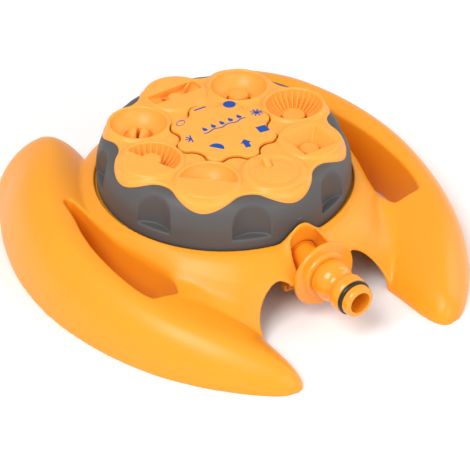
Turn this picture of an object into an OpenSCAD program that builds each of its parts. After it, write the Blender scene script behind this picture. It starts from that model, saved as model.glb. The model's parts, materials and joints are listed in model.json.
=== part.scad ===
// Lawn sprinkler with an eight-pattern dial on a two-winged sled base.
// +Z is up and z = 0 is the ground. The hose plugs in along +Y, at the front (-Y).

/* [Base] */
// Width over both wings
base_w = 223; // [215:0.2:235]
// Reach of the front toes, ahead of the dial axis
toe_reach = 128; // [125:0.5:140]
// Reach of the rear lobes, behind the dial axis
tail_reach = 103; // [98:0.5:112]
// Height of the wing's crest beside the dial
wing_h = 32; // [28:0.5:34]
// Wall of the base moulding
wall = 2.5; // [2:0.1:3]
// Height of the rim round the dial
rim_z = 35.6; // [35:0.1:37]

/* [Dial] */
// Outer radius of the grip ring
grip_r = 64.5; // [63:0.1:65]
// Gap between the grip ring and the rim
grip_gap = 1.15; // [0.8:0.05:1.5]
// Number of spray patterns
patterns = 8; // [8:1:8]
// Radius of the circle that the cups stand on
cup_circle = 43.5; // [43:0.1:44]
// Outer radius of a cup
cup_r = 16.2; // [15.6:0.1:16.4]
// Height of the cups above the ground
cup_z = 62.5; // [62:0.1:63.5]

/* [Hose inlet] */
// Height of the inlet axis above the ground
inlet_z = 24.7; // [24:0.1:25]
// Distance of the inlet's tip ahead of the dial axis
inlet_reach = 114.4; // [110:0.1:118]
// Radius of the tip that seals in the hose connector
tip_r = 8.2; // [7.9:0.05:8.3]
// Radius of the water way
inlet_bore_r = 5.5; // [4.5:0.1:5.8]

/* [Hidden] */

$fn = 96;
yellow = "#ffb02a";
grey = "#55555a";
black = "#1c1c1c";
steel = "silver";
rubber = "dimgray";
eps = 0.01;

// The origin is under the middle of the footprint, so the dial stands behind it.
axis_y = (toe_reach - tail_reach) / 2;
step_deg = 360 / patterns;

// Heights of the stack under and inside the dial
rim_r = grip_r + grip_gap;
tray_top = rim_z - 2.4;
tray_bottom = tray_top - wall;
grip_bottom = tray_top + 0.6;
under_z = grip_bottom + 3.2;
under_t = 3;
hub_z = under_z + under_t;
ring_top = 59.4;
plate_z = 60.8;
badge_z = 61.9;
badge_t = 1.6;
post_top = 55.3;

// Water way
post_r = 6;
fit_gap = 0.05;
riser_y = -cup_circle;
riser_r = 9.5;
riser_bore_r = 7.5;
riser_floor = 27;
riser_top = 34.5;
socket_r = 8.5;
socket_front = -67.5;
spigot_r = 6.5;
throat_r = 4.2;
disc_z = 17.5;
disc_t = 2.5;
boss_r = 4;
boss_circle = 42;
boss_angles = [0 : 60 : 300];
boss_turn = 7.5;

// ---------------------------------------------------------------- curves

// A Catmull-Rom curve through the rows of a list, n steps from row to row.
function cr(a, b, c, d, t) = 0.5 * ((2 * b) + (c - a) * t + (2 * a - 5 * b + 4 * c - d) * t * t
    + (3 * b - a - 3 * c + d) * t * t * t);
function row(p, i) = p[max(0, min(len(p) - 1, i))];
function spline(p, n) = [for (i = [0 : len(p) - 2], k = [0 : n - 1])
    cr(row(p, i - 1), p[i], p[i + 1], row(p, i + 2), k / n), p[len(p) - 1]];

// A value read from a list of [x, value] rows, straight from row to row.
function lin(p, x) = x <= p[0][0] ? p[0][1] : x >= p[len(p) - 1][0] ? p[len(p) - 1][1]
    : [for (i = [0 : len(p) - 2]) if (x >= p[i][0] && x < p[i + 1][0])
        p[i][1] + (p[i + 1][1] - p[i][1]) * (x - p[i][0]) / (p[i + 1][0] - p[i][0])][0];

// A quarter of a superellipse with half axes a and b and exponent n; q runs from 0 to 90.
function se(a, b, n, q) = [a * pow(cos(q), 2 / n), b * pow(sin(q), 2 / n)];

// Faces of a closed loft through rings of m points, n rings.
function loft_faces(n, m) = concat(
    [for (i = [0 : n - 2], j = [0 : m - 1]) let (k = (j + 1) % m)
        each [[i * m + j, i * m + k, (i + 1) * m + k], [i * m + j, (i + 1) * m + k, (i + 1) * m + j]]],
    [[for (j = [m - 1 : -1 : 0]) j]],
    [[for (j = [0 : m - 1]) (n - 1) * m + j]]);

// ---------------------------------------------------------------- base shell

// Stations along a wing, from tail to toe: y, inner edge, outer edge, crest and crest height.
wing_stations = [
    [tail_reach, 56.5, 57.5, 57, 0.4],
    [tail_reach - 3.4, 44, 71.5, 56.5, 14],
    [tail_reach - 12, 35.5, 81.6, 56, 28.8],
    [76, 32, 88.8, 57.5, wing_h + 5.6],
    [52, 32.5, 100, 73, wing_h + 8],
    [22, 36, 108.8, 87, wing_h + 5],
    [-12, 38, base_w / 2, 92.5, wing_h + 1.2],
    [-46, 38, 106.4, 88, wing_h - 2.6],
    [-75, 37.5, 96, 79, wing_h - 6.6],
    [-96, 37.8, 83.4, 66, 20.8],
    [-111, 38.4, 71, 55, 15.8],
    [-toe_reach + 6.5, 40, 60, 49, 10.8],
    [-toe_reach + 1.8, 42.6, 53.2, 47, 5.4],
    [-toe_reach, 45.6, 46.4, 46, 0.4]];
wing_curve = 1.6;
wing_curve_out = 1.85;

// One cross-section of the wing, shrunk on all sides by w; a hollow also gets a foot below the ground.
function wing_ring(s, w, m) = let (
        lo = s[1] + w,
        hi = max(lo + 0.6, s[2] - 1.1 * w),
        top = max(0.3, s[4] - w),
        mid = min(max(s[3], lo + 0.2), hi - 0.2),
        y = s[0] * (1 - w / toe_reach))
    concat(
        w > 0 ? [[lo, y, -1]] : [],
        [for (j = [0 : m]) let (p = se(mid - lo, top, wing_curve, 90 * j / m)) [mid - p[0], y, p[1]]],
        [for (j = [m - 1 : -1 : 0]) let (p = se(hi - mid, top, wing_curve_out, 90 * j / m)) [mid + p[0], y, p[1]]],
        w > 0 ? [[hi, y, -1]] : []);

module wing(w, n, m) {
    rings = [for (s = spline(wing_stations, n)) wing_ring(s, w, m)];
    polyhedron([for (r = rings) each r], loft_faces(len(rings), len(rings[0])), convexity = 6);
}

// The dome round the dial, by the angle from the front: radius and height of its ridge,
// then radius and height of the valley in front of the wing, then the foot.
ridge_r = [[0, 86], [21, 85.8], [29, 85.4], [36, 82.6], [44, 80.2], [52, 78.6], [58, 75.6],
    [64, 73.8], [100, 73.8], [120, 75.5], [180, 76]];
ridge_z = [[0, 21], [14, 20.5], [21, 18.6], [29, 19.5], [44, 23.5], [52, 25.5], [64, 26.6],
    [76, 27.6], [86, 30], [110, 30], [180, 29]];
valley_r = [[0, 95], [22, 96.5], [33, 92.9], [49, 86], [57, 79], [64, 75], [100, 75], [125, 78], [180, 79]];
valley_z = [[0, 6], [22, 4], [33, 14.5], [49, 22], [57, 21], [64, 16], [180, 15]];
foot_r = [[0, 98], [22, 98.6], [33, 95], [49, 88], [57, 80.5], [64, 76.4], [100, 76.4], [125, 80], [180, 81.5]];
beak_h = 8.4;
beak_half = 14;
function from_front(a) = acos(-sin(a));
function beak(p) = let (x = rim_r * sin(p)) p < 60 && x < beak_half ? beak_h * (1 + cos(180 * x / beak_half)) / 2 : 0;
function bend(a, b, c, t) = (1 - t) * (1 - t) * a + 2 * t * (1 - t) * b + t * t * c;

// The dome's outer profile at angle p from the front, as [radius, height] points.
function dome_profile(p) = let (
        rim = [rim_r - 1, rim_z + beak(p)],
        ridge = [lin(ridge_r, p), lin(ridge_z, p)],
        valley = [lin(valley_r, p), lin(valley_z, p)],
        foot = [lin(foot_r, p), 0],
        shoulder = [rim_r + 0.45 * (ridge[0] - rim_r), rim_z + 0.6 * beak(p) - 1.6],
        under = ridge * 0.75 + valley * 0.25)
    concat(
        [rim, [rim_r + 0.8, rim[1]]],
        [for (k = [1 : 4]) bend([rim_r + 0.8, rim[1]], shoulder, ridge * 0.85 + shoulder * 0.15, k / 4)],
        [for (k = [1 : 3]) bend(ridge * 0.85 + shoulder * 0.15, ridge, under, k / 3)],
        [valley, foot]);

// The hollow under the dome at angle p from the front.
function hollow_profile(p) = [
    [rim_r + wall, tray_bottom],
    [lin(ridge_r, p) - 2, lin(ridge_z, p) - wall],
    [lin(valley_r, p) - 2.4, lin(valley_z, p) - 1.2],
    [lin(foot_r, p) - wall, 0],
    [lin(foot_r, p) - wall, -1]];

module dome_solid() {
    turn = 3;
    rings = [for (a = [0 : turn : 360 - turn]) [for (q = dome_profile(from_front(a))) [q[0] * cos(a), q[0] * sin(a), q[1]]]];
    revolve_rings(rings);
}

module dome_hollow() {
    turn = 6;
    rings = [for (a = [0 : turn : 360 - turn]) [for (q = hollow_profile(from_front(a))) [q[0] * cos(a), q[0] * sin(a), q[1]]]];
    revolve_rings(rings);
}

// A solid from profiles that stand round the Z axis, capped on the axis at both ends.
module revolve_rings(rings) {
    n = len(rings);
    m = len(rings[0]);
    points = concat([for (r = rings) each r], [[0, 0, rings[0][0][2] - 1], [0, 0, rings[0][m - 1][2]]]);
    sides = [for (i = [0 : n - 1], j = [0 : m - 2]) let (k = (i + 1) % n)
        each [[i * m + j, k * m + j, k * m + j + 1], [i * m + j, k * m + j + 1, i * m + j + 1]]];
    top = [for (i = [0 : n - 1]) [n * m, ((i + 1) % n) * m, i * m]];
    bottom = [for (i = [0 : n - 1]) [n * m + 1, i * m + m - 1, ((i + 1) % n) * m + m - 1]];
    polyhedron(points, concat(sides, top, bottom), convexity = 6);
}

// The slot between dome and wing: pairs of inner and outer edge points, tail to front.
slot_stations = [
    [[77, 24.5], [77.4, 24]],
    [[75.6, 15], [79.2, 12]],
    [[75.4, 3], [82, 1]],
    [[74.8, -9], [83.8, -11]],
    [[72.4, -20], [84.2, -22]],
    [[69.4, -30], [84, -32]],
    [[66.6, -39], [83, -42]],
    [[65.4, -47.5], [81.4, -50]],
    [[67.6, -54], [79.6, -54.6]]];
slot_corner = 2.2;
module slot(grow) {
    for (i = [0 : len(slot_stations) - 2])
        hull()
            for (p = concat(slot_stations[i], slot_stations[i + 1]))
                translate([p[0], p[1], -2])
                    cylinder(r = (i == 0 && p[1] > 20 ? 1.2 : slot_corner) + grow, h = 60, $fn = 20);
}

// Front outline of the open arch beside the inlet, and of the niche round it.
cowl_reach = 82.5;
cowl_back = 75;
arch_edge = [[38, -1], [37.6, 8], [34.4, 14.9], [29, 21], [22.6, 24.6], [18, 23.2], [15.8, 19], [15, 13]];
module arch_outline() {
    polygon(concat(spline(arch_edge, 4), [[0, 13], [0, -1]]));
}

module mouth_cut() {
    for (side = [0, 1])
        mirror([side, 0, 0])
            translate([0, -70, 0])
                rotate([90, 0, 0])
                    linear_extrude(80)
                        arch_outline();
    translate([-20, -120, -1])
        cube([40, 120 - cowl_reach, 24]);
    translate([-20, -120, -1])
        cube([40, 120 - cowl_back, 21.5]);
}

niche_edge = [[0, 47.5], [3.6, 45], [6.4, 42.5], [9.3, 39.5], [11, 36.5], [12.3, 32.5], [12.7, 28.5], [12.9, 8]];
module niche_outline(grow) {
    right = [for (p = niche_edge) p + [grow * (p[0] > 0 ? 1 : 0), p[1] > 8 ? grow : 0]];
    polygon(concat(right, [for (i = [len(right) - 1 : -1 : 1]) [-right[i][0], right[i][1]]]));
}

module niche(grow) {
    hull() {
        translate([0, -90, 0])
            rotate([90, 0, 0])
                linear_extrude(1)
                    niche_outline(grow);
        translate([0, -rim_r - 2.6 + grow, inlet_z])
            rotate([90, 0, 0])
                linear_extrude(1)
                    scale([0.82, 0.86])
                        translate([0, -inlet_z])
                            niche_outline(grow);
    }
}

module shell_bosses() {
    for (a = boss_angles)
        rotate(a)
            translate([boss_circle, 0, disc_z + disc_t])
                rotate(boss_turn)
                    cylinder(r = boss_r, h = tray_bottom - disc_z - disc_t + eps, $fn = 24);
}

module base_shell() {
    color(yellow)
        difference() {
            union() {
                difference() {
                    union() {
                        dome_solid();
                        for (side = [0, 1])
                            mirror([side, 0, 0])
                                wing(0, 3, 7);
                    }
                    difference() {
                        union() {
                            dome_hollow();
                            for (side = [0, 1])
                                mirror([side, 0, 0])
                                    wing(wall, 2, 5);
                        }
                        for (side = [0, 1])
                            mirror([side, 0, 0])
                                slot(wall);
                        niche(1.8);
                    }
                    mouth_cut();
                }
                shell_bosses();
            }
            for (side = [0, 1])
                mirror([side, 0, 0])
                    slot(0);
            niche(0);
            translate([0, 0, tray_top])
                cylinder(r = rim_r, h = 40, $fn = 120);
            translate([0, 0, tray_bottom - 2])
                cylinder(r = post_r + 4, h = 12, $fn = 32);
            translate([0, riser_y, 0])
                cylinder(r = riser_r + 0.4, h = 60, $fn = 32);
            translate([0, -90, inlet_z])
                rotate([-90, 0, 0])
                    cylinder(r = socket_r + 0.3, h = 38, $fn = 32);
            for (a = boss_angles)
                rotate(a)
                    translate([boss_circle, 0, disc_z])
                        cylinder(r = 1.6, h = tray_bottom - disc_z + 1, $fn = 16);
        }
}

// ---------------------------------------------------------------- water parts

module along_y(y) {
    translate([0, y, inlet_z])
        rotate([-90, 0, 0])
            children();
}

module water_manifold() {
    color(yellow)
        difference() {
            union() {
                translate([0, 0, disc_z])
                    cylinder(r = boss_circle + boss_r + 2, h = disc_t);
                translate([0, 0, disc_z])
                    cylinder(r = post_r, h = post_top - disc_z);
                translate([0, 0, disc_z])
                    cylinder(r = post_r + 3.6, h = 16);
                translate([0, riser_y, disc_z])
                    cylinder(r = riser_r, h = riser_top - disc_z);
                along_y(-60)
                    cylinder(r = 6, h = 60 + riser_y);
                along_y(socket_front)
                    cylinder(r = socket_r, h = 10.5);
            }
            along_y(socket_front - 1)
                cylinder(r = spigot_r + fit_gap, h = 10);
            along_y(socket_front)
                cylinder(r = throat_r, h = riser_y - socket_front);
            translate([0, riser_y, inlet_z - throat_r])
                cylinder(r = throat_r, h = 20);
            translate([0, riser_y, riser_floor])
                cylinder(r = riser_bore_r, h = 20);
            translate([0, 0, post_top - 14])
                cylinder(r = 2, h = 20);
            for (a = boss_angles)
                rotate(a)
                    translate([boss_circle, 0, disc_z - 1])
                        cylinder(r = 1.75, h = 10);
        }
}

// A pan-head screw pointing up, with its head's underside at z = 0.
module screw(head_r, head_h, shank_r, length) {
    difference() {
        union() {
            translate([0, 0, -head_h])
                cylinder(r = head_r, h = head_h);
            cylinder(r = shank_r, h = length);
        }
        for (a = [0, 90])
            rotate(a)
                translate([-head_r * 0.6, -0.4, -head_h - eps])
                    cube([head_r * 1.2, 0.8, head_h * 0.5]);
    }
}

module manifold_screws() {
    color(steel)
        for (a = boss_angles)
            rotate(a)
                translate([boss_circle, 0, disc_z])
                    screw(3.4, 2.2, 1.5, 11);
}

// Outline of the hose inlet: distance behind the tip and radius.
guide_r = 9.8;
guide_from = 7.2;
guide_to = 11;
collar_d = 26.8;
flange_d = 28.4;
flange_back = 31;
flange_r = 17.4;
groove_d = 5.3;
groove_half = 1.15;
spigot_d = inlet_reach + socket_front;
spigot_groove = 4;
spigot_length = 8.8;
seal_bed_r = 5.1;
seal_bed_w = 2.2;
tube_r = 7.6;
throat_d = 40;
neck_curve = spline([[12.2, 9.3], [13.4, 7.9], [14.8, 7.4], [16.4, 8], [18, 9.2], [20.2, 10.1], [23, 10.3],
    [25.4, 10.1], [26, 9.6]], 3);
module inlet_connector() {
    round_r = 1.6;
    nose = [for (q = [0 : 18 : 90]) [round_r - round_r * cos(q), tip_r - round_r + round_r * sin(q)]];
    groove_to = groove_d + groove_half;
    outline = concat(
        [[0, inlet_bore_r]],
        nose,
        [[groove_d - groove_half, tip_r], [groove_d - groove_half, 7], [groove_to, 7], [groove_to, tip_r + 0.9],
            [guide_from, guide_r - 0.3], [guide_to, guide_r], [guide_to + 0.8, guide_r - 0.2]],
        neck_curve,
        [[26.2, 9], [collar_d, 9], [collar_d, 11.8], [collar_d + 0.5, 12.3], [flange_d, 12.5],
            [flange_d, flange_r - 0.9], [flange_d + 0.6, flange_r - 0.2], [flange_d + 1.2, flange_r],
            [flange_back - 0.8, flange_r], [flange_back - 0.2, flange_r - 0.4], [flange_back, flange_r - 0.9],
            [flange_back, tube_r], [spigot_d, tube_r], [spigot_d, spigot_r]],
        [[spigot_d + spigot_groove, spigot_r], [spigot_d + spigot_groove, seal_bed_r],
            [spigot_d + spigot_groove + seal_bed_w, seal_bed_r], [spigot_d + spigot_groove + seal_bed_w, spigot_r],
            [spigot_d + spigot_length, spigot_r], [spigot_d + spigot_length, throat_r],
            [throat_d, throat_r], [throat_d - 2, inlet_bore_r]]);
    color(yellow)
        along_y(-inlet_reach)
            rotate_extrude()
                polygon([for (p = outline) [p[1], p[0]]]);
}

module o_ring(middle_r, section_r) {
    rotate_extrude()
        translate([middle_r, 0])
            circle(r = section_r, $fn = 32);
}

module inlet_o_ring() {
    color(black)
        along_y(-inlet_reach + groove_d)
            o_ring(8.1, 1.1);
}

module inlet_seal_ring() {
    color(black)
        along_y(-inlet_reach + spigot_d + spigot_groove + seal_bed_w / 2)
            o_ring(seal_bed_r + 0.7, 0.68);
}

module seal_carrier() {
    color("white")
        translate([0, riser_y, 30])
            difference() {
                cylinder(r = riser_bore_r - fit_gap, h = 5.2);
                translate([0, 0, -1])
                    cylinder(r = 4.4, h = 10);
            }
}

module port_seal() {
    color(rubber)
        translate([0, riser_y, 35.2])
            difference() {
                cylinder(r = 7.2, h = under_z - 35.2);
                translate([0, 0, -1])
                    cylinder(r = throat_r, h = 10);
            }
}

// A spring of round wire, swept ring by ring along its helix.
module coil(middle_r, wire_r, height, turns) {
    sides = 6;
    per_turn = 20;
    steps = turns * per_turn;
    rise = height - 2 * wire_r;
    rings = [for (i = [0 : steps]) let (a = 360 * i / per_turn, z = wire_r + rise * i / steps)
        [for (j = [0 : sides - 1]) let (q = 360 * j / sides, r = middle_r + wire_r * cos(q))
            [r * cos(a), r * sin(a), z + wire_r * sin(q)]]];
    polyhedron([for (r = rings) each r], loft_faces(len(rings), sides), convexity = 6);
}

module port_spring() {
    color(steel)
        translate([0, riser_y, riser_floor])
            coil(5.8, 0.4, 3, 2);
}

// A leaf that stands on the tray and clicks into the notches under the dial.
click_r = 24;
module click_spring() {
    color(steel)
        translate([0, click_r + 1.5, 0])
            rotate([90, 0, 0])
                linear_extrude(3) {
                    translate([-7, tray_top])
                        square([4, 0.6]);
                    polygon([[-4, tray_top], [-3, tray_top], [0.6, under_z + 0.2], [0, under_z + 0.8], [-0.6, under_z + 0.2]]);
                }
}

module pivot_washer() {
    color(steel)
        translate([0, 0, post_top])
            difference() {
                cylinder(r = 9.4, h = 1);
                translate([0, 0, -1])
                    cylinder(r = 2.2, h = 4);
            }
}

module pivot_screw() {
    color(steel)
        translate([0, 0, post_top + 1])
            rotate([180, 0, 0])
                screw(4.2, 2.4, 1.95, 13);
}

// ---------------------------------------------------------------- dial

module around(first, count) {
    for (i = [0 : count - 1])
        rotate(first + i * 360 / count)
            children();
}

// Bowls in the cups: radius at the mouth and at the floor, and depth
bowl_r = 14.2;
bowl_floor_r = 6.6;
bowl_depth = 8.5;
bowl_floor_z = cup_z - bowl_depth;
cup_floor = bowl_floor_z - 2;

// The grip ring's shoulder is a quarter superellipse about this point.
shoulder_c = [53.5, 42];
shoulder_curve = 2.2;
function shoulder(grow, from, to) = [for (k = [0 : 12])
    shoulder_c + se(grip_r - shoulder_c[0] + grow, ring_top - shoulder_c[1] + grow, shoulder_curve, from + (to - from) * k / 12)];

// A grip recess: a flat ledge below and a round arch above, sunk to this radius.
recess_floor_r = 60;
recess_half = 9.2;
recess_z = [40.5, 47.8];
module recess() {
    rotate([0, 90, 0])
        translate([0, 0, recess_floor_r]) {
            translate([-recess_z[1], 0, 0])
                cylinder(r = recess_half, h = 10);
            translate([-recess_z[1], -recess_half, 0])
                cube([recess_z[1] - recess_z[0], 2 * recess_half, 10]);
        }
}

module grip_ring() {
    inner_r = 57.6;
    color(grey)
        difference() {
            rotate_extrude()
                polygon(concat(
                    [[inner_r, grip_bottom], [grip_r - 0.6, grip_bottom], [grip_r, grip_bottom + 0.6]],
                    shoulder(0, 0, 90),
                    [[shoulder_c[0], 56.6], [inner_r, 55]]));
            around(step_deg / 2, patterns)
                recess();
            around(0, patterns)
                translate([cup_circle, 0, cup_floor - 0.1])
                    cylinder(r = cup_r + 0.1, h = 20);
        }
}

// A rosette: lobes of radius r on a circle, with round valleys down to radius v between them.
function valley_round(c, r, v) = (v * v - 2 * c * cos(step_deg / 2) * v + c * c - r * r)
    / (2 * (r - v + c * cos(step_deg / 2)));
module rosette(c, r, v) {
    u = valley_round(c, r, v);
    difference() {
        union() {
            around(0, patterns)
                translate([c, 0])
                    circle(r = r);
            polygon([for (i = [0 : 2 * patterns - 1]) let (a = i * step_deg / 2, d = i % 2 == 0 ? c : v + u) [d * cos(a), d * sin(a)]]);
        }
        around(step_deg / 2, patterns)
            translate([v + u, 0])
                circle(r = u);
    }
}

skirt_over = 2;
plate_valley_r = 53;
badge_lobe = [21.8, 5, 22];

// A round bowl in a cup. Its wall may be sunk deeper by grow.
module bowl(grow) {
    wall_curve = [for (k = [0 : 6]) let (p = se(bowl_r - bowl_floor_r, bowl_depth, 1.5, 15 * k)) [bowl_floor_r + grow + p[0], -p[1]]];
    translate([0, 0, cup_z])
        rotate_extrude()
            polygon(concat([[0, 1], [bowl_r + grow, 1]], wall_curve, [[0, -bowl_depth]]));
}

// Flutes: grooves that run down the wall of a bowl, every 12 degrees over part of a turn.
module flutes(first, last) {
    intersection() {
        bowl(0.9);
        for (a = [first : 12 : last])
            rotate(a)
                translate([3, -0.6, cup_z - 20])
                    cube([20, 1.2, 40]);
    }
}

module half_of(width) {
    translate([-width, -width, 0])
        cube([width, 2 * width, 100]);
}

// What is sunk into each cup, by its number anticlockwise from +X.
module cup_recess(i) {
    if (i == 0) {
        bowl(0);
        flutes(0, 348);
    }
    if (i == 1 || i == 3)
        bowl(0);
    if (i == 2)
        intersection() {
            bowl(0);
            translate([-2, -30, 0])
                cube([60, 60, 100]);
        }
    if (i == 4) {
        intersection() {
            bowl(0);
            half_of(30);
        }
        flutes(96, 264);
    }
    if (i == 5)
        intersection() {
            bowl(0);
            half_of(30);
        }
    if (i == 6) {
        translate([0, 0, cup_z - 0.6])
            difference() {
                cylinder(r = 12.6, h = 2);
                translate([0, 0, -1])
                    cylinder(r = 11.8, h = 4);
            }
        spout_seat()
            translate([0, 0, -fit_gap])
                cylinder(r = spout_r + fit_gap, h = 6);
        translate([-1, 0, cup_z - 5.2])
            rotate([0, -spout_lean, 0])
                cylinder(r = spout_bore, h = 6.6);
    }
    if (i == 7)
        translate([0, 0, cup_z - bowl_depth])
            cylinder(r1 = square_floor_r, r2 = bowl_r + 0.87, h = bowl_depth + 1, $fn = 4);
}

// The square pattern's bowl has its corners on the cup's own axes.
square_floor_r = 6.8;

// The jet's spout leans inwards from a seat on the inner side of its cup.
spout_r = 1.9;
spout_bore = 1.1;
spout_lean = 45;
module spout_seat() {
    translate([-5.6, 0, cup_z - 0.6])
        rotate([0, -spout_lean, 0])
            children();
}

feed_r = 5.5;
feed_bore = 3.4;
screw_circle = 32;
module nozzle_plate() {
    color(yellow)
        difference() {
            union() {
                intersection() {
                    rotate_extrude()
                        polygon(concat(
                            [[0, plate_z - 3], [shoulder_c[0] - 0.5, plate_z - 3], [shoulder_c[0] - 0.5, ring_top + 0.05]],
                            [for (p = shoulder(0.05, 90, 24)) p],
                            [for (p = shoulder(1.25, 24, 90)) p],
                            [[0, plate_z]]));
                    translate([0, 0, 40])
                        linear_extrude(40)
                            rosette(cup_circle, cup_r + skirt_over, plate_valley_r);
                }
                around(0, patterns)
                    translate([cup_circle, 0, cup_floor]) {
                        cylinder(r = cup_r, h = cup_z - cup_floor - 1);
                        translate([0, 0, cup_z - cup_floor - 1])
                            cylinder(r1 = cup_r, r2 = cup_r - 0.8, h = 1);
                    }
                around(0, patterns)
                    translate([cup_circle, 0, hub_z])
                        cylinder(r = feed_r, h = cup_floor - hub_z + 1);
                around(step_deg / 2, patterns)
                    translate([screw_circle, 0, hub_z])
                        cylinder(r = 3.2, h = plate_z - hub_z - 2);
                translate([0, 0, hub_z])
                    cylinder(r = 12, h = plate_z - hub_z - 1);
            }
            for (i = [0 : patterns - 1])
                rotate(i * step_deg)
                    translate([cup_circle, 0, 0]) {
                        cup_recess(i);
                        translate([0, 0, hub_z - 1])
                            cylinder(r = feed_bore, h = cup_z - bowl_depth - hub_z + (i == 6 ? 6 : 2));
                    }
            around(step_deg / 2, patterns)
                translate([screw_circle, 0, hub_z - 1])
                    cylinder(r = 1.25, h = 12);
            translate([0, 0, hub_z - 1])
                cylinder(r = 8, h = 40);
            translate([0, 0, post_top - 0.3])
                cylinder(r = 10, h = 40);
            translate([0, 0, badge_z - badge_t])
                linear_extrude(10)
                    rosette(badge_lobe[0], badge_lobe[1] + 0.4, badge_lobe[2] + 0.4);
        }
}

module pivot_bush() {
    color("white")
        translate([0, 0, hub_z])
            difference() {
                cylinder(r = 8, h = post_top - 0.1 - hub_z);
                translate([0, 0, -1])
                    cylinder(r = post_r + fit_gap, h = 40);
            }
}

module dial_underplate() {
    color(grey)
        difference() {
            translate([0, 0, under_z])
                cylinder(r = 57.2, h = under_t);
            translate([0, 0, under_z - 1])
                cylinder(r = post_r + 0.8, h = 10);
            around(0, patterns)
                translate([cup_circle, 0, under_z - 1])
                    cylinder(r = feed_bore, h = 10);
            around(step_deg / 2, patterns)
                translate([screw_circle, 0, under_z - 1]) {
                    cylinder(r = 1.5, h = 10);
                    cylinder(r = 2.7, h = 2.8);
                }
            around(0, patterns)
                translate([click_r - 3, 0, under_z])
                    rotate([0, 90, 0])
                        cylinder(r = 1.2, h = 6);
        }
}

module underplate_screws() {
    color(steel)
        around(step_deg / 2, patterns)
            translate([screw_circle, 0, under_z + 1.8])
                screw(2.5, 1.6, 1.2, 9);
}

module badge_plate() {
    color(yellow)
        translate([0, 0, badge_z - badge_t])
            linear_extrude(badge_t)
                rosette(badge_lobe[0], badge_lobe[1], badge_lobe[2]);
}

// ---------------------------------------------------------------- nozzles and deflectors

module in_cup(i) {
    rotate(i * step_deg)
        translate([cup_circle, 0, bowl_floor_z])
            children();
}

// A button on a stem: its head turns the jet outwards over the bowl.
module button(head_r, head_h, lift) {
    difference() {
        union() {
            translate([0, 0, -4])
                cylinder(r = feed_bore, h = 4 + eps);
            translate([0, 0, -1])
                cylinder(r = 2.4, h = lift + 1);
            translate([0, 0, lift])
                cylinder(r = head_r, h = head_h - 0.8);
            translate([0, 0, lift + head_h - 0.8 - eps])
                cylinder(r1 = head_r, r2 = head_r - 0.8, h = 0.8);
        }
        for (a = [0 : 120 : 240])
            rotate(a)
                translate([2.9, 0, -5])
                    cylinder(r = 0.45, h = 5.2, $fn = 16);
    }
}

module full_deflector() {
    color(yellow)
        in_cup(1)
            button(5.2, 4, 1);
}

module fluted_deflector() {
    color(yellow)
        in_cup(0)
            button(5.8, 4, 1);
}

module square_deflector() {
    color(yellow)
        in_cup(7)
            button(4.6, 4, 1);
}

// The oval pattern: a boss with a lens-shaped top, split by a narrow slit.
module slit_nozzle() {
    color(yellow)
        in_cup(3)
            difference() {
                union() {
                    translate([0, 0, -4])
                        cylinder(r = feed_bore, h = 4 + eps);
                    intersection() {
                        translate([0, 4, 0])
                            cylinder(r = 8, h = 6);
                        translate([0, -4, 0])
                            cylinder(r = 8, h = 6);
                        cylinder(r1 = 6.4, r2 = 4.6, h = 6);
                    }
                }
                translate([-2.8, -0.7, -5])
                    cube([5.6, 1.4, 20]);
            }
}

// The strip pattern: a thin hooded blade behind a slot.
module strip_nozzle() {
    color(yellow)
        in_cup(2)
            difference() {
                union() {
                    translate([0, 0, -4])
                        cylinder(r = feed_bore, h = 4 + eps);
                    intersection() {
                        cylinder(r = 4.4, h = 3.4);
                        translate([-1.9, -10, -1])
                            cube([20, 20, 10]);
                    }
                    translate([0, -1, 0])
                        cube([bowl_floor_r, 2, 5]);
                }
                translate([-0.7, -2.6, -5])
                    cube([1.4, 5.2, 20]);
            }
}

// The jet: a short spout that leans inwards.
module jet_nozzle() {
    color(yellow)
        rotate(6 * step_deg)
            translate([cup_circle, 0, 0])
                spout_seat()
                    difference() {
                        cylinder(r = spout_r, h = 4);
                        translate([0, 0, -1])
                            cylinder(r = spout_bore, h = 8);
                    }
}

// Half patterns: a half-round hub set against the flat side of the cup.
module half_hub(hub_r, height) {
    difference() {
        union() {
            translate([0, 0, -4])
                cylinder(r = feed_bore, h = 4 + eps);
            intersection() {
                cylinder(r = hub_r, h = height);
                translate([-20, -20, 0])
                    cube([20 - 0.05, 40, 20]);
            }
        }
        translate([-1.4, -2, -5])
            cube([0.9, 4, 20]);
    }
}

module half_deflector() {
    color(yellow)
        in_cup(5)
            half_hub(2.4, 5.6);
}

module half_fluted_deflector() {
    color(yellow)
        in_cup(4)
            half_hub(5, 5.6);
}

module placed() {
    translate([0, axis_y, 0])
        children();
}

placed() base_shell();
placed() water_manifold();
placed() manifold_screws();
placed() inlet_connector();
placed() inlet_o_ring();
placed() inlet_seal_ring();
placed() click_spring();
placed() port_spring();
placed() seal_carrier();
placed() port_seal();
placed() pivot_screw();
placed() pivot_washer();
placed() grip_ring();
placed() nozzle_plate();
placed() dial_underplate();
placed() underplate_screws();
placed() pivot_bush();
placed() badge_plate();
placed() strip_nozzle();
placed() full_deflector();
placed() fluted_deflector();
placed() square_deflector();
placed() jet_nozzle();
placed() half_deflector();
placed() half_fluted_deflector();
placed() slit_nozzle();
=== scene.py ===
import json
import math

import bpy
import numpy as np
import openvdb as vdb
from mathutils import Matrix, Vector


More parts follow.
